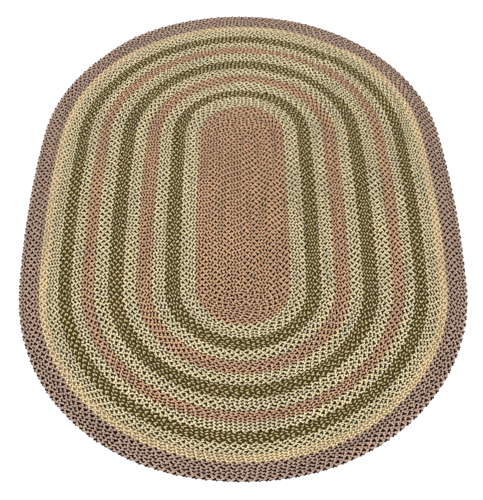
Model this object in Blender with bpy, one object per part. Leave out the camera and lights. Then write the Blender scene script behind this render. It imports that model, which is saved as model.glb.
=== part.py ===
"""A braided rug, flat on the floor: an oval 2.44 m across and 3.35 m long.

A three-strand braid is laid straight down the middle and then laced round and
round itself. Every few rounds the strands are changed, which makes the coloured
bands. Each band is one solid here, with its rows of braid raised as ridges. The
rug lies on z = 0, centred on the origin, with its long way along Y.
"""

import math

import bmesh
import bpy

# Driving dimensions, in metres
HALF_WIDTH = 1.219  # eight feet across in all
HALF_LENGTH = 1.676  # eleven feet from tip to tip
THICKNESS = 0.012  # a braid, from the floor to its crest
GROOVE = 0.004  # how far the laced seam between two rows lies below their crests
PIECE_GAP = 0.0003  # between the solids of two bands
END_SHARE = 0.899  # a row's width round the ends, where the braid is stretched, as a share of its width at the sides
DRAWN_IN = 0.157  # how far the lacing draws the sides in towards the tips, as a share of the half width
FULLNESS = (2.2, 2.6, 3.2, 2.5)  # rows by which the border is fuller in each quarter, anticlockwise from +X
FULLNESS_POWER = 4  # the fullness grows outwards with this power of the reach

# How finely a round is drawn
SIDE_STEPS = 4
END_STEPS = 18

# Colours of the strands, blended as a band shows them from a few steps away
TAN = (0.342, 0.216, 0.127, 1.0)
CREAM = (0.404, 0.331, 0.187, 1.0)
OLIVE = (0.196, 0.133, 0.073, 1.0)
PALE = (0.539, 0.434, 0.274, 1.0)
MAUVE = (0.285, 0.187, 0.155, 1.0)
YARN_ROUGHNESS = 0.9

# The bands from the middle out: object name, colour, rounds of braid.
# The first band also holds the straight row down the middle.
BANDS = (
    ("band_00_tan", TAN, 14),
    ("band_01_cream", CREAM, 5),
    ("band_02_olive", OLIVE, 5),
    ("band_03_cream", CREAM, 4),
    ("band_04_tan", TAN, 5),
    ("band_05_cream", CREAM, 4),
    ("band_06_olive", OLIVE, 5),
    ("band_07_cream", CREAM, 4),
    ("band_08_tan", TAN, 4),
    ("band_09_cream", CREAM, 4),
    ("band_10_olive", OLIVE, 4),
    ("band_11_cream", CREAM, 3),
    ("band_12_pale", PALE, 3),
    ("band_13_mauve", MAUVE, 6),
)

ROUNDS = sum(rounds for _name, _colour, rounds in BANDS)
ROW_WIDTH = HALF_WIDTH / (ROUNDS + 0.5)  # the middle row gives each side half a row
HALF_STRAIGHT = HALF_LENGTH - END_SHARE * HALF_WIDTH
SEAM_HEIGHT = THICKNESS - GROOVE

SAME_POINT = 1e-6
SMOOTH_UNDER = math.radians(60)


def fuller(reach, turn):
    """How far out a round lies at this turn of an end, in the quarter that the turn falls in."""
    quarter = int(turn // (math.pi / 2))
    swell = FULLNESS[quarter] * ROW_WIDTH * (reach / HALF_WIDTH) ** FULLNESS_POWER
    return reach + swell * math.sin(2 * turn) ** 2


def round_outline(reach):
    """Points once round the rug, anticlockwise, `reach` from the middle line at the sides."""
    points = []
    for end, start_turn in ((1, 0), (-1, math.pi)):
        for step in range(SIDE_STEPS):
            points.append((end * reach, end * HALF_STRAIGHT * (2 * step / SIDE_STEPS - 1)))
        for step in range(END_STEPS):
            turn = start_turn + math.pi * step / END_STEPS
            out = fuller(reach, turn)
            points.append((out * math.cos(turn), end * HALF_STRAIGHT + END_SHARE * out * math.sin(turn)))
    return [(x * (1 - DRAWN_IN * (y / HALF_LENGTH) ** 2), y) for x, y in points]


def ridges(reach, rounds):
    """(reach, height) of each round's crest and of the seam outside it."""
    found = []
    for _round in range(rounds):
        found.append((reach + ROW_WIDTH / 2, THICKNESS))
        found.append((reach + ROW_WIDTH, SEAM_HEIGHT))
        reach += ROW_WIDTH
    return found


def section_of(inner, rounds, is_border):
    """The band's cross-section as (reach, height), from its inner edge over the ridges to its outer foot."""
    if inner == 0:
        section = [(0, THICKNESS), (ROW_WIDTH / 2, SEAM_HEIGHT)] + ridges(ROW_WIDTH / 2, rounds)
    else:
        foot = inner + PIECE_GAP / 2
        section = [(foot, 0), (foot, SEAM_HEIGHT)] + ridges(inner, rounds)
    outer = section[-1][0] - (0 if is_border else PIECE_GAP / 2)
    return section[:-1] + [(outer, SEAM_HEIGHT), (outer, 0)]


def sweep(section, is_middle):
    """The solid that the section makes when it is carried once round the rug."""
    shape = bmesh.new()
    rings = []
    for reach, height in section:
        rings.append([shape.verts.new((x, y, height)) for x, y in round_outline(reach)])
    pairs = list(zip(rings, rings[1:]))
    if is_middle:
        shape.faces.new(rings[-1])
    else:
        pairs.append((rings[-1], rings[0]))
    for inside, outside in pairs:
        for here in range(len(inside)):
            there = (here + 1) % len(inside)
            shape.faces.new((inside[here], outside[here], outside[there], inside[there]))
    bmesh.ops.remove_doubles(shape, verts=shape.verts, dist=SAME_POINT)
    bmesh.ops.recalc_face_normals(shape, faces=shape.faces)
    return shape


def yarn(name, colour):
    material = bpy.data.materials.new(name)
    material.use_nodes = True
    shader = material.node_tree.nodes["Principled BSDF"]
    shader.inputs["Base Color"].default_value = colour
    shader.inputs["Roughness"].default_value = YARN_ROUGHNESS
    shader.inputs["Metallic"].default_value = 0
    return material


def band(name, colour, inner, rounds, is_border):
    shape = sweep(section_of(inner, rounds, is_border), is_middle=inner == 0)
    mesh = bpy.data.meshes.new(name)
    shape.to_mesh(mesh)
    shape.free()
    mesh.shade_smooth()
    mesh.set_sharp_from_angle(angle=SMOOTH_UNDER)
    mesh.materials.append(yarn(name + "_yarn", colour))
    return bpy.data.objects.new(name, mesh)


def build_rug():
    for old in list(bpy.data.objects):
        bpy.data.objects.remove(old)
    rug = bpy.data.objects.new("rug", None)
    bpy.context.scene.collection.objects.link(rug)
    inner = 0
    for index, (name, colour, rounds) in enumerate(BANDS):
        piece = band(name, colour, inner, rounds, is_border=index == len(BANDS) - 1)
        bpy.context.scene.collection.objects.link(piece)
        piece.parent = rug
        inner += (rounds + (0.5 if inner == 0 else 0)) * ROW_WIDTH


build_rug()
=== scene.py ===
# %% [markdown]
# # A braided rug
# The real rug is one very long flat braid of three thick cords. It is laid straight down the
# middle and then laced edge to edge round and round itself, like a coiled rope, until the
# oval is big enough to stand a table on. Every few rounds the maker swaps the cords for
# others, and that makes the coloured bands.
#
# The lesson builds it the same way. One line follows the whole coil, a flat core runs along
# that line, and Geometry Nodes set a short swelling of cord on it wherever a cord comes up
# between the other two. There are some fifty-four thousand of those. Every length is in
# metres, as in Blender.

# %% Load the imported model
import math

import bpy
import numpy as np
from mathutils import Color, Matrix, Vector


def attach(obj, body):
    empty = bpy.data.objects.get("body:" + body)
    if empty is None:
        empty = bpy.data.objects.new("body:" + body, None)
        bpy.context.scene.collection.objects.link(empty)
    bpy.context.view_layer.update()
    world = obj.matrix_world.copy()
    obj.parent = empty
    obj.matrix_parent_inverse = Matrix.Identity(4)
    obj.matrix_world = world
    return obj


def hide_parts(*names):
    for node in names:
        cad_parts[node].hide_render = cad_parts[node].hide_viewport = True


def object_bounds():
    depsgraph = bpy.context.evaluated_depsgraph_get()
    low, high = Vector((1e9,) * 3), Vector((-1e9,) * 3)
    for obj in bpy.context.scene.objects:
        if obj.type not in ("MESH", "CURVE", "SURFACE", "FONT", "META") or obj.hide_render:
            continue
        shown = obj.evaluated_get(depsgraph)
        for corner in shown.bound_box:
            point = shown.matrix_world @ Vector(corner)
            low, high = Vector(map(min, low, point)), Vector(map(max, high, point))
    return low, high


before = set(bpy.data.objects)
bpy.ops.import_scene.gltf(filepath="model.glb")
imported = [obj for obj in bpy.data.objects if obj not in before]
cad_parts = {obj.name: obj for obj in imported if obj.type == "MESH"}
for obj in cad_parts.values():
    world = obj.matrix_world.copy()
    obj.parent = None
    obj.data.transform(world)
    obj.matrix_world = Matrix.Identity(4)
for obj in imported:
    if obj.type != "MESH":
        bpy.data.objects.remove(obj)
solid_low, solid_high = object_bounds()
HALF_WIDTH = solid_high.x
HALF_LENGTH = solid_high.y
THICKNESS = solid_high.z
print(f"the solid rug is {2 * HALF_WIDTH:.3f} m across and {2 * HALF_LENGTH:.3f} m long")
print(f"and {1000 * THICKNESS:.0f} mm thick")

# %% [markdown]
# ## The bands
# Each row below is one length of braid: the solid that it stands for, the yarns in it, how
# many times it goes round and how wide its rows are. Two of its three cords are of the main
# yarn, and the third is of one that is much darker or lighter, which makes the flecks. The
# rounds aren't whole numbers, because a maker changes cords wherever one runs out, and not
# at a line ruled across the rug. The rows of one band are a little wider than those of the
# next, because some cords are plumper and some rounds are laced less tightly.
#
# Colours are given as a paint chart gives them and turned into the linear light that
# Blender reckons in.

# %% Name the bands and their yarns


def paint(red, green, blue):
    """The linear colour of a paint that a screen shows as these numbers from 0 to 255."""
    return (*Color((red / 255, green / 255, blue / 255)).from_srgb_to_scene_linear(), 1.0)


SALMON = paint(222, 184, 148)
BROWN = paint(46, 17, 4)
CREAM = paint(240, 225, 184)
DARK_OLIVE = paint(46, 38, 6)
OLIVE = paint(74, 60, 26)
KHAKI = paint(222, 206, 156)
OAT = paint(244, 226, 188)
BEIGE = paint(148, 118, 74)
MAUVE = paint(203, 174, 155)
BLACK_BROWN = paint(24, 8, 4)
BLACK = paint(0, 0, 0)

# node, material slot, main yarn, odd yarn, rounds, width of a row as a share of the average
BANDS = (
    ("band_00_tan", "tan_yarn", SALMON, BROWN, 14.1, 1.034),
    ("band_01_cream", "cream_yarn", CREAM, DARK_OLIVE, 5.1, 1.02),
    ("band_02_olive", "olive_yarn", OLIVE, KHAKI, 4.9, 0.91),
    ("band_03_cream", "cream_yarn", CREAM, DARK_OLIVE, 4.05, 1.075),
    ("band_04_tan", "tan_yarn", SALMON, BROWN, 4.95, 0.97),
    ("band_05_cream", "cream_yarn", CREAM, DARK_OLIVE, 4.0, 1.06),
    ("band_06_olive", "olive_yarn", OLIVE, KHAKI, 4.95, 0.92),
    ("band_07_cream", "cream_yarn", CREAM, DARK_OLIVE, 4.1, 1.14),
    ("band_08_tan", "tan_yarn", SALMON, BROWN, 3.95, 0.95),
    ("band_09_cream", "cream_yarn", CREAM, DARK_OLIVE, 3.0, 1.13),
    ("band_10_olive", "olive_yarn", OLIVE, KHAKI, 4.0, 0.96),
    ("band_11_cream", "cream_yarn", CREAM, DARK_OLIVE, 4.05, 0.91),
    ("band_12_pale", "pale_yarn", OAT, BEIGE, 2.95, 0.90),
    ("band_13_mauve", "mauve_yarn", MAUVE, BLACK_BROWN, 6.0, 0.99),
)
ROUNDS = 70
ROW_WIDTH = HALF_WIDTH / (ROUNDS + 0.5)  # the middle row gives each side half a row
print(f"{len(BANDS)} bands in {ROUNDS} rounds of braid, each {1000 * ROW_WIDTH:.1f} mm wide")

# %% [markdown]
# ## The line of the coil
# A coil that is one row wider on each side of the rug after each turn is drawn with plain
# half circles: those at one end are struck from a centre half a row to the side of those at
# the other end, so each leg starts where the last one stopped. Where the braid stops, the
# maker thins its cords out and tucks them in against the round inside.

# %% Draw the plain coil
END_SHARE = 0.899  # a row's width round the ends as a share of its width at the sides
HALF_STRAIGHT = HALF_LENGTH - END_SHARE * HALF_WIDTH  # how far from the middle the ends begin
LINE_STEP = 0.003  # metres between the points that the line is drawn through
FEWEST_ON_LEG = 2  # of those points on a straight leg
FEWEST_ON_ARC = 12
ENDS_AT = math.radians(140)  # the braid stops at the far left, this far round from +X
TUCK_TURN = math.radians(12)  # over the last of it the maker thins the cords out
TUCKED_IN = ROW_WIDTH / 3  # and brings it this much further in


def straight(x, y_from, y_to):
    """Points along a straight leg, without its last."""
    count = max(FEWEST_ON_LEG, int(abs(y_to - y_from) / LINE_STEP))
    ys = np.linspace(y_from, y_to, count, endpoint=False)
    return np.column_stack([np.full(count, x), ys])


def arc(x, y, radius, turn_from, turn_to, radius_to=None):
    """Points round an end, whose radius may change on the way."""
    count = max(FEWEST_ON_ARC, int(abs(turn_to - turn_from) * radius / LINE_STEP))
    turns = np.linspace(turn_from, turn_to, count, endpoint=False)
    radii = np.linspace(radius, radius if radius_to is None else radius_to, count)
    return np.column_stack([x + radii * np.cos(turns), y + radii * np.sin(turns)])


def ideal_coil():
    """The coil before it is pressed, the rounds done at each point, and the points in its tuck."""
    half_row = ROW_WIDTH / 2
    legs = [straight(0, -HALF_STRAIGHT, HALF_STRAIGHT)]
    rounds = [np.full(len(legs[0]), -1.0)]  # the middle row comes before the first round
    for done in range(ROUNDS):
        side = (done + 1) * ROW_WIDTH
        turn = (
            arc(-half_row, HALF_STRAIGHT, side - half_row, 0, math.pi),
            straight(-side, HALF_STRAIGHT, -HALF_STRAIGHT),
            arc(0, -HALF_STRAIGHT, side, -math.pi, 0),
            straight(side, -HALF_STRAIGHT, HALF_STRAIGHT),
        )
        legs += turn
        in_turn = sum(len(leg) for leg in turn)
        rounds.append(done + np.arange(in_turn) / in_turn)
    outer = side + half_row
    tuck_from = ENDS_AT - TUCK_TURN
    last = arc(-half_row, HALF_STRAIGHT, outer, 0, tuck_from)
    tuck = arc(-half_row, HALF_STRAIGHT, outer, tuck_from, ENDS_AT, radius_to=outer - TUCKED_IN)
    legs += [last, tuck]
    rounds.append(ROUNDS + np.arange(len(last) + len(tuck)) / in_turn)
    return np.concatenate(legs), np.concatenate(rounds), len(tuck)


ideal, rounds_done, tuck_points = ideal_coil()
print(f"the plain coil is drawn through {len(ideal)} points")

# %% [markdown]
# ## The coil pressed into shape
# The real rug is pressed a little out of that shape. Each band has rows of its own width, the
# lacing pulls the rows together round the ends and draws the sides in towards the tips, and
# the border is fuller at its four corners, at some more than at others. All of that is done
# to the points of the plain coil, because it takes one short sum for each.
#
# A braid that is stretched gets narrower. `share` keeps how wide the row is at each point,
# as a share of its full width: the pressing changes the floor's area there by a known share,
# and what the line has lost or gained in length is the rest of it.

# %% Press the coil
DRAWN_IN = 0.157  # how far the sides are drawn in towards the tips
FULLNESS = np.array([2.2, 2.6, 3.2, 2.5])  # rows more at the border in each quarter, from +X
FULLNESS_POWER = 4  # the fullness grows outwards with this power of the reach
TUCK_SHARE = 0.4  # how wide the braid is at its very end, as a share of its full width

edges = np.cumsum([0] + [rounds for *_, rounds, _width in BANDS])
widths = [rounds * width for *_, rounds, width in BANDS]
edges_placed = np.cumsum([0, widths[0] + 0.5] + widths[1:])


def placed_reach(reach):
    """How far out a row lies when every band has rows of its own width."""
    counted = np.append(0, edges[1:] + 0.5)
    far = 2 * counted[-1]
    placed = np.interp(reach / ROW_WIDTH, np.append(counted, far), np.append(edges_placed, far))
    return placed * ROW_WIDTH


def pressed(points):
    """Where the lacing leaves the points of the plain coil."""
    x, y = points.T
    beyond = np.sign(y) * np.maximum(np.abs(y) - HALF_STRAIGHT, 0)
    reach = np.maximum(np.hypot(x, beyond), ROW_WIDTH / 2)
    placed = placed_reach(reach)
    turn = np.arctan2(beyond, x)
    quarter = (turn // (math.pi / 2)).astype(int) % 4
    swell = FULLNESS[quarter] * ROW_WIDTH * (placed / HALF_WIDTH) ** FULLNESS_POWER
    fuller = swell * np.sin(2 * turn) ** 2
    grown = (placed + fuller) / reach
    y_now = y - beyond + END_SHARE * beyond * grown
    return np.column_stack([x * grown * (1 - DRAWN_IN * (y_now / HALF_LENGTH) ** 2), y_now])


def room_left(points):
    """What the pressing leaves of a small patch of floor at each point, as a share of its area."""
    step = ROW_WIDTH / 10
    aside = (pressed(points + (step, 0)) - pressed(points - (step, 0))) / (2 * step)
    ahead = (pressed(points + (0, step)) - pressed(points - (0, step))) / (2 * step)
    return aside[:, 0] * ahead[:, 1] - aside[:, 1] * ahead[:, 0]


def steps_of(points):
    """The distance from each point to the next."""
    steps = np.linalg.norm(np.diff(points, axis=0), axis=1)
    return np.append(steps, steps[-1])


line = pressed(ideal)
share = room_left(ideal) * steps_of(ideal) / steps_of(line)
share[-tuck_points:] *= np.linspace(1, TUCK_SHARE, tuck_points)
print(f"the braid is {steps_of(line).sum():.0f} m long")

# %% [markdown]
# ## Where the cords cross
# `spacing` keeps how far apart the cords cross at each point. That is further in the olive
# bands, whose braid is the slackest, and wherever the braid is stretched round the ends. A
# running sum of the steps along the line, each over the spacing there, numbers the crossings
# from the first to the last. The uneven pull of a hand then leaves each crossing a little
# ahead of or behind that even count.

# %% Number the crossings
CORDS = 3  # in the braid
REPEAT_CROSSINGS = 2 * CORDS  # each cord comes to each edge once in a repeat
# metres along a braid of each yarn from one cord at its edge to the same cord there again
REPEAT_LENGTHS = {
    "tan_yarn": 0.0449,
    "cream_yarn": 0.0441,
    "olive_yarn": 0.0484,
    "pale_yarn": 0.0442,
    "mauve_yarn": 0.0447,
}
CROSSING = 0.0446 / REPEAT_CROSSINGS  # the room that the spindle below is drawn for
STRETCH = 0.067  # how much further apart the cords cross round the ends
STRETCH_RAMP = 0.15  # metres into an end over which that comes on
WANDER = 1.6  # crossings that the braid may be ahead of or behind an even one
WANDER_EVERY = 36  # crossings from one change of the hand's pull to the next
WANDER_SEED = 5

band_here = np.searchsorted(edges[1:-1], rounds_done, side="right")
repeat_here = np.array([REPEAT_LENGTHS[slot] for _node, slot, *_ in BANDS])[band_here]
into_end = np.clip((np.abs(line[:, 1]) - HALF_STRAIGHT) / STRETCH_RAMP, 0, 1)
spacing = repeat_here / REPEAT_CROSSINGS * (1 + STRETCH * into_end)
even = np.cumsum(steps_of(line) / spacing)
knots = np.arange(0, even[-1] + WANDER_EVERY, WANDER_EVERY)
wander = np.random.default_rng(WANDER_SEED).uniform(-WANDER, WANDER, len(knots))
wander[0] = 0
crossings = even + np.interp(even, knots, wander)
print(f"its cords cross {crossings[-1]:.0f} times")

# %% [markdown]
# ## Points for the nodes
# Geometry Nodes read the coil from a mesh that has no faces, only points joined in a row.
# The swellings of cord need a point at every crossing. The core needs far fewer: it keeps a
# point only where the line has turned a few degrees, and at set places along it where its
# pattern starts again. Each point carries the number of its crossing, `share` and
# `spacing`, so everything that is set on it later knows where in the braid it is.

# %% Cut the coil into the bands
TURN_KEPT = math.radians(6)  # each time that the line has turned by this, the core keeps a point
CORE_PATTERN = 24  # crossings after which the pattern on the core starts again


def coil_at(numbers, values):
    """What these values of the coil's points are at these crossings."""
    return np.interp(numbers, crossings, values)


def coil_points(numbers):
    """Where on the floor these crossings are."""
    x, y = (coil_at(numbers, part) for part in line.T)
    return np.column_stack([x, y, np.zeros(len(x))])


def points_kept(points, numbers):
    """Which points the core keeps: the ends, each start of its pattern, and one at each turn."""
    ways = np.arctan2(*np.diff(points[:, :2], axis=0).T)
    turned = np.append(0, np.cumsum(np.abs((np.diff(ways) + math.pi) % math.tau - math.pi)))
    kept = np.floor(turned / TURN_KEPT)
    changes = np.append(np.diff(kept) > 0, [False, True])
    changes[0] = True
    return changes | (numbers % CORE_PATTERN == 0)


def line_object(name, numbers, thinned=False):
    """A row of points at these crossings for the nodes to read."""
    points = coil_points(numbers)
    if thinned:
        kept = points_kept(points, numbers)
        points, numbers = points[kept], numbers[kept]
    mesh = bpy.data.meshes.new(name)
    mesh.from_pydata(points.tolist(), [(i, i + 1) for i in range(len(points) - 1)], [])
    shares, spacings = coil_at(numbers, share), coil_at(numbers, spacing / CROSSING)
    for label, values in (("crossing", numbers), ("share", shares), ("spacing", spacings)):
        layer = mesh.attributes.new(label, "FLOAT", "POINT")
        layer.data.foreach_set("value", values.astype(np.float32))
    piece = bpy.data.objects.new(name, mesh)
    bpy.context.scene.collection.objects.link(piece)
    return piece


def crossing_at(rounds):
    """The number of the last crossing before this many rounds are done."""
    return int(np.interp(rounds, rounds_done, crossings))


starts = [0] + [crossing_at(edge) for edge in edges[1:-1]] + [int(crossings[-1])]
print("each band has this many crossings:", np.diff(starts).tolist())

# %% [markdown]
# ## Nodes written as sums
# Both kinds of node tree, for shapes and for materials, are easier to read as sums than as a
# list of nodes. `Wire` holds one output. Adding or multiplying wires puts in the Math nodes,
# and `node` puts in anything else: its settings first, then its sockets.

# %% Make a wire that does sums


class Wire:
    """What comes out of one node, or, without a socket, the tree that the first one goes into."""

    def __init__(self, tree, socket=None):
        self.tree = tree
        self.socket = socket

    def node(self, kind, settings=None, sockets=None, output=0):
        """Adds a node and gives the named or numbered thing that comes out of it."""
        made = self.tree.nodes.new(kind)
        for name, value in (settings or {}).items():
            setattr(made, name, value)
        for name, value in (sockets or {}).items():
            if isinstance(value, Wire):
                self.tree.links.new(value.socket, made.inputs[name])
            else:
                made.inputs[name].default_value = value
        return Wire(self.tree, made.outputs[output])

    def other(self, output):
        """Another output of the same node."""
        return Wire(self.tree, self.socket.node.outputs[output])

    def part(self, axis):
        """The part of a vector that lies along this axis."""
        return self.node("ShaderNodeSeparateXYZ", None, {0: self}, axis)

    def vector_math(self, operation, sockets):
        settings = {"operation": operation}
        return self.node("ShaderNodeVectorMath", settings, {0: self} | sockets)

    def math(self, operation, *values):
        sockets = dict(enumerate((self, *values)))
        return self.node("ShaderNodeMath", {"operation": operation}, sockets)

    def __add__(self, value):
        return self.math("ADD", value)

    __radd__ = __add__

    def __sub__(self, value):
        return self.math("SUBTRACT", value)

    def __rsub__(self, value):
        """The value less this wire, in one node."""
        return self.math("MULTIPLY_ADD", -1.0, value)

    def __mul__(self, value):
        return self.math("MULTIPLY", value)

    def __truediv__(self, value):
        return self.math("DIVIDE", value)

    def __mod__(self, value):
        return self.math("FLOORED_MODULO", value)

# %% [markdown]
# ## What all the yarn has in common
# The cords are thick and matt, and every material here is built the same way. A colour is
# darkened by how deep a spot lies, which is painted shade in its grooves and seams, and by a
# noise for the fibres. The same depth is the relief, as a bump, because the strands are too
# fine to be faces. The crowns are rubbed a little smoother than the grooves between them.

# %% Finish a yarn
WORN = 0.12  # how much smoother a strand's crown is than its grooves
BUMP = 0.8  # how strongly the relief shows
YARN_GLOSS = 0.05  # next to none, as wool and cotton have


def mixed(wire, factor, first, second):
    """A colour between two. Of the node's many sockets, 6, 7 and 2 are the ones for colours."""
    sockets = {"Factor": factor, 6: first, 7: second}
    return wire.node("ShaderNodeMix", {"data_type": "RGBA"}, sockets, 2)


def new_material(name):
    material = bpy.data.materials.new(name)
    material.use_nodes = True
    shader = material.node_tree.nodes["Principled BSDF"]
    shader.inputs["Specular IOR Level"].default_value = YARN_GLOSS
    return material, Wire(material.node_tree), shader


def noise(spot, scale, detail):
    sockets = {"Vector": spot, "Scale": scale, "Detail": detail}
    return spot.node("ShaderNodeTexNoise", None, sockets)


def finish_material(material, shader, colour, height, depth):
    """Links what changes over the yarn: its colour, its relief and the wear on its crowns."""
    tree = material.node_tree
    tree.links.new(colour.socket, shader.inputs["Base Color"])
    tree.links.new((1 - height * WORN).socket, shader.inputs["Roughness"])
    relief = {"Strength": BUMP, "Distance": depth, "Height": height}
    tree.links.new(height.node("ShaderNodeBump", None, relief).socket, shader.inputs["Normal"])
    return material

# %% [markdown]
# ## The yarn of a cord
# Each cord is a roll of yarn whose strands lie side by side and wind slowly round it. The
# `yarn` map has eight rows of eight squares, and every swelling of cord wears one of the
# squares, so the strands can be drawn along it as slanting lines. A noise that is read
# across all the squares makes each a little lighter or darker than the next. The rows are
# dye lots: the bottom one is a little dull and cool, and the top one bright and warm.

# %% Draw the strands
SQUARES = 8  # squares along each side of the map
STRANDS = 10.0  # strands of yarn side by side round one cord
TWIST = 2.0  # strands that the twist carries them on by along one swelling
STRAND_DEPTH = 0.0007  # from a strand's crown down to its groove
PAINTED_GROOVE_SHADE = 0.7  # painted shade: between two strands the yarn is this bright
CROWN = 0.6  # the power that makes a strand's bright crown broad and the painted shade in its groove narrow
MOTTLE = 0.3  # how far one swelling is from the next in brightness, at most
MOTTLE_SCALE = 0.9 * SQUARES  # about one change from each square to the next
FIBRE_SCALE = 12.0 * SQUARES  # and a dozen fibres in a square
FIBRE_DETAIL = 3.0  # each with finer ones on it
FIBRE_RISE = 0.5  # of a strand's depth
LOT = 0.08  # how much brighter or duller than the yarn the first and last lots are
LOT_TINT = (0.012, 0.0, -0.018)  # and how much warmer or cooler, in red, green and blue
FULL = 1.15  # the brightest that a yarn gets, over its colour
EVEN = 1.1  # and where no painted groove shade, mottle or lot changes it


def dyed(colour, warmth):
    """The yarn's full colour in its coolest lot, warmth -1, or its warmest, warmth 1."""
    return (*(part * FULL * (1 + warmth * tint) for part, tint in zip(colour, LOT_TINT)), 1.0)


def yarn_material(name, colour):
    """Strands of yarn that run along a swelling of cord and slowly round it."""
    material, start, shader = new_material(name)
    spot = start.node("ShaderNodeUVMap", {"uv_map": "yarn"})
    around = spot.part("X")
    along = around.other("Y")
    strand = ((around * STRANDS + along * TWIST) * (SQUARES * math.tau)).math("SINE") * 0.5 + 0.5
    mottle = noise(spot, MOTTLE_SCALE, 0.0)
    fibre = noise(spot, FIBRE_SCALE, FIBRE_DETAIL)
    lot = (along * SQUARES).math("FLOOR") / (SQUARES - 1)
    # the yarn is darkened between two strands: painted shade in the grooves
    painted_shade_and_mottle = strand.math("POWER", CROWN) * (1 - PAINTED_GROOVE_SHADE) + PAINTED_GROOVE_SHADE
    painted_shade_and_mottle = painted_shade_and_mottle * (1 + (mottle - 0.5) * 2 * MOTTLE) * (1 + (fibre - 0.5) * MOTTLE)
    painted_shade_and_mottle = painted_shade_and_mottle * (1 + (lot * 2 - 1) * LOT) * (EVEN / FULL)
    shade = mixed(start, painted_shade_and_mottle, BLACK, mixed(start, lot, dyed(colour, -1), dyed(colour, 1)))
    return finish_material(material, shader, shade, strand + fibre * FIBRE_RISE, STRAND_DEPTH)


print(f"{SQUARES * SQUARES} squares on the yarn map, in {SQUARES} dye lots")

# %% [markdown]
# ## The yarn of the core
# The core under the swellings wears the same map. Where it faces down, its material draws
# the braid as it shows from below, a herringbone of cords with painted shade where two cords
# meet, and where it faces up it is painted dark, as the shadow of the swellings over it.

# %% Draw the herringbone and make every yarn
MARGIN = 0.06  # of a square, left empty on each side
PAINTED_GAP_SHADE = 0.05  # painted shade: how bright the core's top is, in the gaps between the swellings
CORD_SLANT = 1.5  # crossings that a cord runs on by from the row's middle to its edge
CORD_DEPTH = 0.002  # from a cord's back down to its seam
CORD_FIBRE = 0.2  # of a cord's depth
PAINTED_SEAM_SHADE = 0.1  # painted shade: how bright the herringbone is where two cords meet
ON_CORD = 0.9  # and along the middle of a cord


def core_material(name, main, odd):
    """The herringbone of cords under the core, with painted shade in its seams, and painted shade
    over its top.
    """
    material, start, shader = new_material(name)
    spot = start.node("ShaderNodeUVMap", {"uv_map": "yarn"})
    along = spot.part("X") * CORE_PATTERN
    halves = spot.part("Y") * (2 * SQUARES)
    # the top of the core is painted dark as the shadow of the swellings
    painted_top_shade = 1 - (halves % 2.0).math("GREATER_THAN", 1.0) * (1 - PAINTED_GAP_SHADE)
    across = (halves % 1.0 - 0.5) * (2 / (1 - MARGIN))
    left = across.math("GREATER_THAN", 0.0)
    cord = (along + left + across.math("ABSOLUTE") * CORD_SLANT) / 2
    number = cord.math("FLOOR")
    is_odd = ((number * 2 + left) % CORDS).math("LESS_THAN", 0.5)
    height = 1 - ((cord % 1.0) * 2 - 1).math("POWER", 2.0)
    fibre = noise(spot, FIBRE_SCALE, FIBRE_DETAIL)
    # the herringbone darkens where two cords meet: painted shade in the seams
    painted_shade_and_mottle = height.math("SQRT") * (ON_CORD - PAINTED_SEAM_SHADE) + PAINTED_SEAM_SHADE
    painted_shade_and_mottle = (painted_shade_and_mottle + (fibre - 0.5) * MOTTLE) * painted_top_shade
    shade = mixed(start, painted_shade_and_mottle, BLACK, mixed(start, is_odd, main, odd))
    return finish_material(material, shader, shade, height + fibre * CORD_FIBRE, CORD_DEPTH)


yarns = {}
for _node, slot, main, odd, _rounds, _width in BANDS:
    if slot not in yarns:
        yarns[slot] = (
            yarn_material(slot + "_main", main),
            yarn_material(slot + "_odd", odd),
            core_material(slot + "_core", main, odd),
        )
print("yarns:", ", ".join(yarns))

# %% [markdown]
# ## Trees that make shapes
# A tree of Geometry Nodes starts from a line of the coil and ends in faces that wear a
# yarn. These helpers open and close one, read and keep numbers on its points, and run it on
# a piece. The piece keeps only the plain mesh that the tree leaves, so whoever takes the rug
# over needs none of the trees.

# %% Open, close and run a tree


def geometry_tree(name, inputs):
    """An empty tree that takes a geometry and these named inputs, with a wire for each of them."""
    tree = bpy.data.node_groups.new(name, "GeometryNodeTree")
    for label, kind in (("Line", "NodeSocketGeometry"), *inputs):
        tree.interface.new_socket(label, in_out="INPUT", socket_type=kind)
    tree.interface.new_socket("Shape", in_out="OUTPUT", socket_type="NodeSocketGeometry")
    entry = Wire(tree).node("NodeGroupInput")
    return tree, [entry.other(label) for label in ("Line", *(label for label, _kind in inputs))]


def vector(wire, x=0.0, y=0.0, z=0.0):
    return wire.node("ShaderNodeCombineXYZ", None, {"X": x, "Y": y, "Z": z})


def attribute(wire, name, kind="FLOAT"):
    return wire.node("GeometryNodeInputNamedAttribute", {"data_type": kind}, {"Name": name})


def stored(wire, name, value, kind="FLOAT", domain="POINT"):
    settings = {"data_type": kind, "domain": domain}
    sockets = {"Geometry": wire, "Name": name, "Value": value}
    return wire.node("GeometryNodeStoreNamedAttribute", settings, sockets)


def mapped(shape, spot):
    """Keeps the spot on the yarn map under two names: the yarn's own, and OFBake."""
    for name in ("yarn", "OFBake"):
        shape = stored(shape, name, spot, "FLOAT2", "CORNER")
    return shape


def closing(shape, material):
    """The last nodes of a tree: smooth, real faces that wear the material."""
    shape = shape.node("GeometryNodeSetShadeSmooth", None, {"Geometry": shape})
    shape = shape.node("GeometryNodeSetMaterial", None, {"Geometry": shape, "Material": material})
    shape.tree.links.new(shape.socket, shape.tree.nodes.new("NodeGroupOutput").inputs[0])


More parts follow.
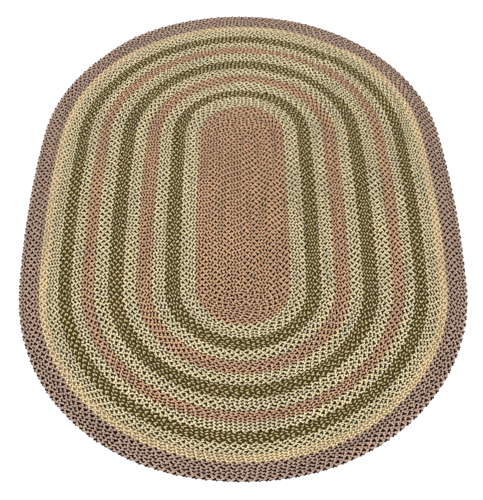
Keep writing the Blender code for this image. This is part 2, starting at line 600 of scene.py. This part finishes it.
def shape_by(piece, tree, values):
    """Runs the tree on the piece with these inputs and leaves the result as a plain mesh."""
    modifier = piece.modifiers.new(tree.name, "NODES")
    modifier.node_group = tree
    for item in tree.interface.items_tree:
        if item.in_out == "INPUT" and item.name in values:
            modifier[item.identifier] = values[item.name]
    seen = piece.evaluated_get(bpy.context.evaluated_depsgraph_get())
    shaped = bpy.data.meshes.new_from_object(seen)
    piece.modifiers.remove(modifier)
    old = piece.data
    piece.data = shaped
    bpy.data.meshes.remove(old)
    return piece

# %% [markdown]
# ## A swelling of cord
# In a three-cord braid each cord in turn comes round from one edge, crosses over the next
# to the middle and goes down there, and the other edge does the same. So from above a braid
# is a row of short swellings that lean in from the left and from the right by turns, and
# every third one is the same cord. That makes it a job for instances: one small spindle and
# its mirror image are set on the points of the coil, turned along it and pulled to the width
# that the row has.
#
# The spindle is a sphere of very few faces, because there are so many of them. It is drawn
# out long, its ends are bent down into the core, and it is leaned over.

# %% Bend the spindle
SIDES = 4  # faces round the spindle
LENGTHS = 3  # faces from one of its ends to the other
SWELLING_LENGTH = 0.0205  # before its ends are drawn out and it is leaned over
SWELLING_WIDTH = 0.0100
SWELLING_HEIGHT = 0.0104
LEAN = math.radians(36)  # out of the way that the row runs
CURL = 0.0010  # how far its ends bend round to run along the row again
DIP = 0.0050  # how far its ends go down
ASIDE = 0.0043  # from the line of the row to the swelling's middle
BELOW_CREST = 0.0024  # from the top of the rug down to that middle
BLUNT = 0.4  # how far its ends are drawn out, so that they aren't points


def swelling(start):
    """The swelling left of the line, leaning in along the way that the braid runs."""
    faces = {"Segments": SIDES, "Rings": LENGTHS, "Radius": 1.0}
    ball = start.node("GeometryNodeMeshUVSphere", None, faces)
    shape = stored(ball, "yarn", ball.other("UV Map"), "FLOAT2", "CORNER")
    x = start.node("GeometryNodeInputPosition").part("X")
    y, z = x.other("Y"), x.other("Z")
    along = z * (1 + BLUNT - z * z * BLUNT)
    sideways = x * (SWELLING_WIDTH / 2) - along * along * CURL
    upward = y * (SWELLING_HEIGHT / 2) - along * along * DIP
    bent = vector(start, along * (SWELLING_LENGTH / 2), sideways, upward)
    shape = shape.node("GeometryNodeSetPosition", None, {"Geometry": shape, "Position": bent})
    settled = {"Translation": (0, ASIDE, THICKNESS - BELOW_CREST), "Rotation": (0, 0, -LEAN)}
    return shape.node("GeometryNodeTransform", None, {"Geometry": shape} | settled)


print(f"a swelling is {1000 * SWELLING_WIDTH:.0f} mm wide before it is pulled to fit its row")

# %% [markdown]
# ## The unevenness of handwork
# A braid made by hand is never even, so each swelling is a little off its size, its place and
# its course. The random numbers come from seeds, so every run makes the same rug.

# %% Draw random numbers
LOOSE = 0.12  # how far a swelling may lie off its course, as a slope
ASTRAY = 0.0007  # how far it may lie off its place
UNEVEN = 0.1  # how far it may be off its size, as a share of that


def random_size(wire, low, high, seed):
    """A number between two. This node too has sockets of each kind, told apart by their numbers."""
    return wire.node("FunctionNodeRandomValue", None, {2: low, 3: high, "Seed": seed}, 1)


def random_count(wire, count, seed):
    """A whole number from 0 up to, but not reaching, the count."""
    settings = {"data_type": "INT"}
    return wire.node("FunctionNodeRandomValue", settings, {4: 0, 5: count - 1, "Seed": seed}, 2)


def random_shift(wire, most, seed):
    """A shift of up to so much either way, along the floor."""
    sockets = {"Min": (-most, -most, 0), "Max": (most, most, 0), "Seed": seed}
    return wire.node("FunctionNodeRandomValue", {"data_type": "FLOAT_VECTOR"}, sockets)


print(f"a swelling may lie {1000 * ASTRAY:.1f} mm off its place")

# %% [markdown]
# ## Swellings all along the coil
# One tree makes the two main cords of a band or its odd one. It keeps the crossings where
# that cord shows, and sets the spindle there or its mirror image. Which row of the `yarn`
# map a swelling wears changes slowly along the braid, as one dye lot follows another.
#
# Only the outermost round shows its side. So there the same spindle is turned over and set
# under the outer edge too, where each cord comes back from below four crossings later.

# %% Build the tree for the cords
CROSSINGS_BELOW = 4  # after a cord dips at the edge, until it comes back there from below
LOT_LENGTH = 60.0  # crossings from one dye lot to the next
LOT_SPREAD = 2.6  # how far the noise is stretched, so that it reaches every lot
LOTS_APART = 1000.0  # lots from the main yarn's first one to the odd yarn's


def is_this_cord(number, odd):
    """1 where the crossing of this number shows the cord that is being made."""
    return (number % CORDS).math("LESS_THAN", 0.5).math("COMPARE", odd, 0.5)


def wearing_square(shape):
    """Puts each swelling's yarn map into its own square."""
    square = attribute(shape, "square")
    corner = vector(shape, square % SQUARES, (square / SQUARES).math("FLOOR"))
    spot = attribute(shape, "yarn", "FLOAT_VECTOR")
    spot = corner.vector_math("ADD", {1: spot.vector_math("SCALE", {"Scale": 1 - 2 * MARGIN})})
    spot = spot.vector_math("ADD", {1: (MARGIN, MARGIN, 0)})
    return mapped(shape, spot.vector_math("SCALE", {"Scale": 1 / SQUARES}))


def as_instance(wire):
    return wire.node("GeometryNodeGeometryToInstance", None, {0: wire})


def joined(first, second):
    both = first.node("GeometryNodeJoinGeometry", None, {0: first})
    first.tree.links.new(second.socket, both.socket.node.inputs[0])
    return both


def course_and_size(points, thickness, seed):
    """How each swelling is turned along the line, and how it is pulled to fit there."""
    way = points.other("Tangent").vector_math("ADD", {1: random_shift(points, LOOSE, seed)})
    flat = {"axis": "X", "pivot_axis": "Z"}
    turned = points.node("FunctionNodeAlignRotationToVector", flat, {"Vector": way})
    width = attribute(points, "share")
    size = random_size(points, 1 - UNEVEN, 1 + UNEVEN, seed + 1) * thickness
    thick = (width + (1 - END_SHARE)).math("MINIMUM", 1.0)
    return turned, vector(points, attribute(points, "spacing"), width * size, thick)


def dyed_square(points, number, odd, seed):
    """The square of the map that each swelling wears: any one, in the row of its dye lot."""
    spot = {"W": number / LOT_LENGTH + odd * LOTS_APART, "Scale": 1.0, "Detail": 0.0}
    lot = points.node("ShaderNodeTexNoise", {"noise_dimensions": "1D"}, spot)
    row = ((lot - 0.5) * LOT_SPREAD + 0.5) * SQUARES
    row = row.math("FLOOR").math("MAXIMUM", 0.0).math("MINIMUM", SQUARES - 1.0)
    return row * SQUARES + random_count(points, SQUARES, seed + 2)


def cords_tree():
    """The tree that sets the swellings of one yarn on a line of the coil."""
    floats = [(label, "NodeSocketFloat") for label in ("Odd Cord", "Thickness", "Rim From")]
    others = [("Seed", "NodeSocketInt"), ("Yarn", "NodeSocketMaterial")]
    tree, entries = geometry_tree("Cords of a braid", floats + others)
    line_in, odd, thickness, rim_from, seed, material = entries
    left = swelling(line_in)
    right = left.node("GeometryNodeTransform", None, {"Geometry": left, "Scale": (1, -1, 1)})
    right = right.node("GeometryNodeFlipFaces", None, {"Mesh": right})
    pair = joined(as_instance(left), as_instance(right))
    over = {"Geometry": right, "Translation": (0, 0, THICKNESS), "Rotation": (0, math.pi, 0)}
    under = right.node("GeometryNodeTransform", None, over)

    curve = line_in.node("GeometryNodeMeshToCurve", None, {"Mesh": line_in})
    points = curve.node("GeometryNodeCurveToPoints", {"mode": "EVALUATED"}, {"Curve": curve})
    number = attribute(points, "crossing")
    turned, scale = course_and_size(points, thickness, seed)
    off_place = random_shift(points, ASTRAY, seed + 3)
    points = stored(points, "square", dyed_square(points, number, odd, seed))
    points = points.node("GeometryNodeSetPosition", None, {"Geometry": points, "Offset": off_place})
    placed = {"Points": points, "Rotation": turned, "Scale": scale}
    above = {"Selection": is_this_cord(number, odd), "Instance": pair}
    above |= {"Pick Instance": True, "Instance Index": number % 2.0}
    above = points.node("GeometryNodeInstanceOnPoints", None, placed | above)
    at_rim = (number % 2.0) * number.math("GREATER_THAN", rim_from)
    below = {"Selection": at_rim * is_this_cord(number - CROSSINGS_BELOW, odd), "Instance": under}
    below = points.node("GeometryNodeInstanceOnPoints", None, placed | below)
    shape = joined(above, below)
    shape = shape.node("GeometryNodeRealizeInstances", None, {"Geometry": shape})
    closing(wearing_square(shape), material)
    return tree


cords = cords_tree()
print(cords.name, "has", len(cords.nodes), "nodes")

# %% [markdown]
# ## The core
# Under the swellings each row is filled by the rest of its three cords. From above that is
# only the dark between them, painted on the core's top as shade, and from below it is all
# that shows. A flat tube stands in for it, because the underside of a rug lies on the floor
# and its material can draw the cords.
# The tube is a curve with a six-sided profile, scaled by `share` as the swellings are.

# %% Build the tree for the core
CORE_HEIGHT = 0.0072  # high enough for the swellings to be sunk into the top of it
CORE_WIDTH = 0.0182  # a little over a row, so that no light comes up between two rows
CORE_SIDES = 6


def core_tree():
    """The tree that draws the flat tube along a line of the coil."""
    tree, entries = geometry_tree("Core of a braid", [("Yarn", "NodeSocketMaterial")])
    line_in, material = entries
    curve = line_in.node("GeometryNodeMeshToCurve", None, {"Mesh": line_in})
    curve = curve.node("GeometryNodeSetCurveNormal", {"mode": "Z_UP"}, {"Curve": curve})
    sides = {"Resolution": CORE_SIDES, "Radius": 1.0}
    ring = line_in.node("GeometryNodeCurvePrimitiveCircle", None, sides)
    x = ring.node("GeometryNodeInputPosition").part("X")
    y = x.other("Y")
    ring = stored(ring, "across", x)
    upward = (y / math.sin(math.tau / CORE_SIDES) - 1) * (CORE_HEIGHT / 2)
    flat = vector(ring, x * (CORE_WIDTH / 2), upward)
    ring = ring.node("GeometryNodeSetPosition", None, {"Geometry": ring, "Position": flat})
    tube = {"Curve": curve, "Profile Curve": ring, "Scale": attribute(curve, "share")}
    shape = curve.node("GeometryNodeCurveToMesh", None, tube | {"Fill Caps": True})
    strip = (attribute(shape, "crossing") / CORE_PATTERN).math("FLOOR")
    shape = stored(shape, "strip", strip, "FLOAT", "FACE")
    # the top faces get the half of each square where the material paints shade
    is_top = shape.node("GeometryNodeInputNormal").part("Z").math("GREATER_THAN", 0.0)
    shape = stored(shape, "top", is_top, "FLOAT", "FACE")
    strip = attribute(shape, "strip")
    along = attribute(shape, "crossing") / CORE_PATTERN - strip
    across = attribute(shape, "across") * ((1 - MARGIN) / 2) + 0.5
    row = (strip % SQUARES + (across + attribute(shape, "top")) / 2) / SQUARES
    closing(mapped(shape, vector(shape, along, row)), material)
    return tree


core = core_tree()
print(core.name, "has", len(core.nodes), "nodes")

# %% [markdown]
# ## Braid the rug
# Each band gets three pieces: its core, its two main cords and its odd one. The core stands
# for the band's solid, which is hidden, and it is a strip of cloth that lies on the floor with
# its cords on it. How wide its rows are side by side and how long the floor that they cover
# would make it are worked out but not used. The dark cords are thicker than the light ones, as
# their bold flecks show.

# %% Braid each band
DARK_BELOW = 0.3  # a yarn whose strongest colour is below this is a dark one
DARK_THICKNESS = 1.32  # of a dark cord, as a share of the spindle's width
LIGHT_THICKNESS = 0.86


def triangles_of(piece):
    return sum(len(face.vertices) - 2 for face in piece.data.polygons)


def thickness_of(colour):
    return DARK_THICKNESS if max(colour[:3]) < DARK_BELOW else LIGHT_THICKNESS


triangles = 0
rim_from = float(crossing_at(rounds_done[-1] - 1))  # one round before the end
for index, (node, slot, main_colour, odd_colour, rounds, width) in enumerate(BANDS):
    numbers = np.arange(starts[index], starts[index + 1] + 1)
    main_yarn, odd_yarn, core_yarn = yarns[slot]
    core_line = line_object(node + "_core", numbers, thinned=True)
    core_piece = shape_by(core_line, core, {"Yarn": core_yarn})
    cord_pieces = []
    cords_here = (
        ("main_cords", 0.0, main_yarn, main_colour),
        ("odd_cord", 1.0, odd_yarn, odd_colour),
    )
    for kind, odd, yarn, colour in cords_here:
        values = {"Odd Cord": odd, "Thickness": thickness_of(colour), "Yarn": yarn}
        values |= {"Rim From": rim_from, "Seed": index}
        cord_line = line_object(f"{node}_{kind}", numbers[:-1])
        cord_pieces.append(shape_by(cord_line, cords, values))
    for piece in (core_piece, *cord_pieces):
        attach(piece, "root")
    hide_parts(node)
    lengths = np.linalg.norm(np.diff(coil_points(numbers), axis=0), axis=1)
    area = float((lengths * coil_at(numbers[:-1], share)).sum() * ROW_WIDTH)
    across = rounds * width * ROW_WIDTH
    area / across
    counts = [triangles_of(piece) for piece in (core_piece, *cord_pieces)]
    triangles += sum(counts)
    print(f"{node}: {lengths.sum():.1f} m of braid, {counts} triangles")
print(f"{triangles} triangles in all")

# %% [markdown]
# ## The floor
# The rug lies on a plain pale floor, as in a shop's picture. It is part of the stage and not
# of the rug, and one face is enough for it.

# %% Lay the floor
FLOOR_HALF = 12.0
FLOOR_UNDER = 0.0005  # from the underside of the rug down to the floor
FLOOR_WHITE = 0.96
FLOOR_ROUGHNESS = 0.95


def build_stage():
    half, low = FLOOR_HALF, -FLOOR_UNDER
    corners = [(-half, -half, low), (half, -half, low), (half, half, low), (-half, half, low)]
    mesh = bpy.data.meshes.new("floor")
    mesh.from_pydata(corners, [], [(0, 1, 2, 3)])
    floor = bpy.data.objects.new("floor", mesh)
    material = bpy.data.materials.new("pale_floor")
    material.use_nodes = True
    shader = material.node_tree.nodes["Principled BSDF"]
    shader.inputs["Base Color"].default_value = (FLOOR_WHITE, FLOOR_WHITE, FLOOR_WHITE, 1)
    shader.inputs["Roughness"].default_value = FLOOR_ROUGHNESS
    mesh.materials.append(material)
    bpy.context.scene.collection.objects.link(floor)


build_stage()
print(f"the floor lies {1000 * FLOOR_UNDER:.1f} mm under the rug")

# %% [markdown]
# ## The light
# Light comes softly from all round, and one broad lamp overhead shows the cords' roundness.
# The plain view transform leaves the dyes as bright as they are.

# %% Light the rug
ROOM_LIGHT = 0.8
LAMP_ACROSS = 3.0  # broad, so that its shadows are soft
LAMP_WATTS = 560
LAMP_AT = Vector((0.5, -2.6, 8.8))


def build_light():
    bpy.context.scene.view_settings.view_transform = "Standard"
    world = bpy.data.worlds.new("soft_room")
    bpy.context.scene.world = world
    world.use_nodes = True
    world.node_tree.nodes["Background"].inputs["Color"].default_value = (1, 1, 1, 1)
    world.node_tree.nodes["Background"].inputs["Strength"].default_value = ROOM_LIGHT
    lamp = bpy.data.lights.new("soft_box", "AREA")
    lamp.shape = "DISK"
    lamp.size = LAMP_ACROSS
    lamp.energy = LAMP_WATTS
    soft_box = bpy.data.objects.new("soft_box", lamp)
    soft_box.location = LAMP_AT
    soft_box.rotation_euler = (-LAMP_AT).to_track_quat("-Z", "Y").to_euler()
    bpy.context.scene.collection.objects.link(soft_box)


build_light()
print(f"the lamp hangs {LAMP_AT.z:.1f} m up")

# %% [markdown]
# ## The camera
# The camera stands where the picture was taken from, which the edges of the bands give away.

# %% Look at the rug
FRAME_HIGH = 500  # pixels, the picture's longer side
FOCAL_PIXELS = 949  # the lens's focal length in such pixels
LOOK_DOWN = math.radians(52.47)
LOOK_AT = Vector((-0.0070, -0.3215, 0.010))  # what is at the middle of the picture
LOOK_FROM = 5.241  # metres from there to the camera
RUG_TURN = math.radians(-0.50)  # how the rug is turned to the camera, seen from above
SENSOR = 36.0  # millimetres along the picture's longer side


def build_camera():
    lens = bpy.data.cameras.new("camera")
    lens.sensor_width = SENSOR
    lens.lens = FOCAL_PIXELS * SENSOR / FRAME_HIGH
    camera = bpy.data.objects.new("camera", lens)
    back = Vector((math.sin(RUG_TURN), -math.cos(RUG_TURN), math.tan(LOOK_DOWN))).normalized()
    camera.location = LOOK_AT + LOOK_FROM * back
    camera.rotation_mode = "QUATERNION"
    camera.rotation_quaternion = (-back).to_track_quat("-Z", "Y")
    bpy.context.scene.collection.objects.link(camera)
    bpy.context.scene.camera = camera


build_camera()
print("the camera stands at", [round(part, 2) for part in bpy.context.scene.camera.location])
